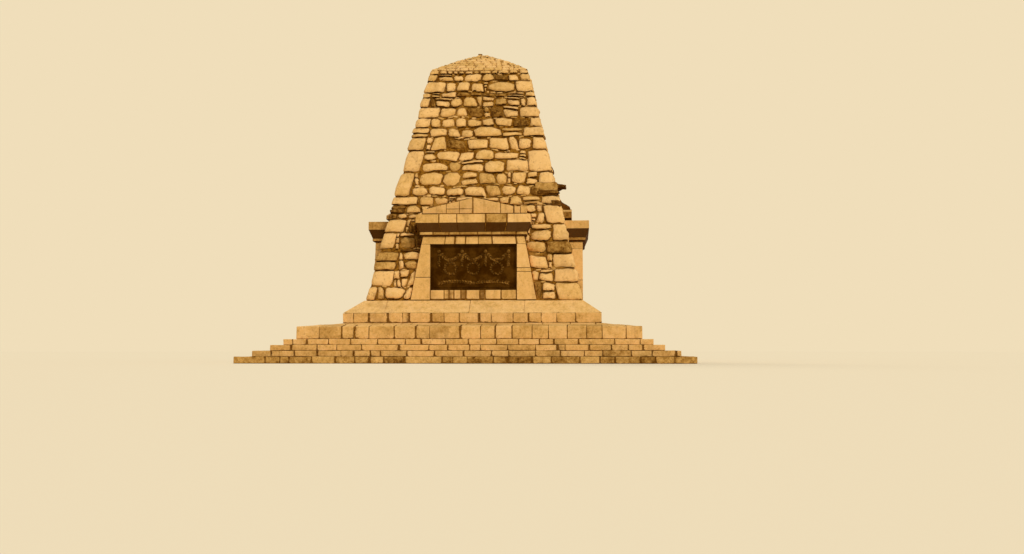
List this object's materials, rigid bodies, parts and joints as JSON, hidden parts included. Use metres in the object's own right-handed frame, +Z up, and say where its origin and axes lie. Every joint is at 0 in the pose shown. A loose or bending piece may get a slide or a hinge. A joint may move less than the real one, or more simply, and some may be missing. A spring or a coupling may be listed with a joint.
{
  "type": "battered stone obelisk on a stepped plinth",
  "caption": "Squat tapering obelisk of coursed rubble with a low pyramid cap, on a stepped plinth, with a dressed-stone portal and a bronze panel on each side.",
  "frame": {"origin": "centre of the underside of the lowest step, on the ground", "axes": "+Z up along the shaft's axis, -Y towards the front portal, +X to the right seen from the front"},
  "size_m": [12, 12, 9.74],
  "materials": {
    "step_stone": "sawn and tooled honey sandstone, weathered",
    "dressed_stone": "smooth dressed honey sandstone",
    "rubble_stone": "split fieldstone in deep raked joints",
    "mortar": "dark recessed lime mortar",
    "bronze": "dark brown patinated cast bronze"
  },
  "bodies": {
    "root": {"step_1": "step_stone", "step_2": "step_stone", "step_3": "step_stone", "step_4": "step_stone", "base_course": "step_stone", "plinth_course": "dressed_stone", "shaft": "rubble_stone", "levelling_course": "rubble_stone", "cap": "rubble_stone", "front_sill": "dressed_stone", "front_left_jamb": "dressed_stone", "front_right_jamb": "dressed_stone", "front_backing": "rubble_stone", "front_panel": "bronze", "front_lintel": "dressed_stone", "front_string": "dressed_stone", "front_cornice": "dressed_stone", "front_pediment": "dressed_stone", "right_sill": "dressed_stone", "right_left_jamb": "dressed_stone", "right_right_jamb": "dressed_stone", "right_backing": "rubble_stone", "right_panel": "bronze", "right_lintel": "dressed_stone", "right_string": "dressed_stone", "right_cornice": "dressed_stone", "right_pediment": "dressed_stone", "back_sill": "dressed_stone", "back_left_jamb": "dressed_stone", "back_right_jamb": "dressed_stone", "back_backing": "rubble_stone", "back_panel": "bronze", "back_lintel": "dressed_stone", "back_string": "dressed_stone", "back_cornice": "dressed_stone", "back_pediment": "dressed_stone", "left_sill": "dressed_stone", "left_left_jamb": "dressed_stone", "left_right_jamb": "dressed_stone", "left_backing": "rubble_stone", "left_panel": "bronze", "left_lintel": "dressed_stone", "left_string": "dressed_stone", "left_cornice": "dressed_stone", "left_pediment": "dressed_stone"}
  },
  "joints": []
}
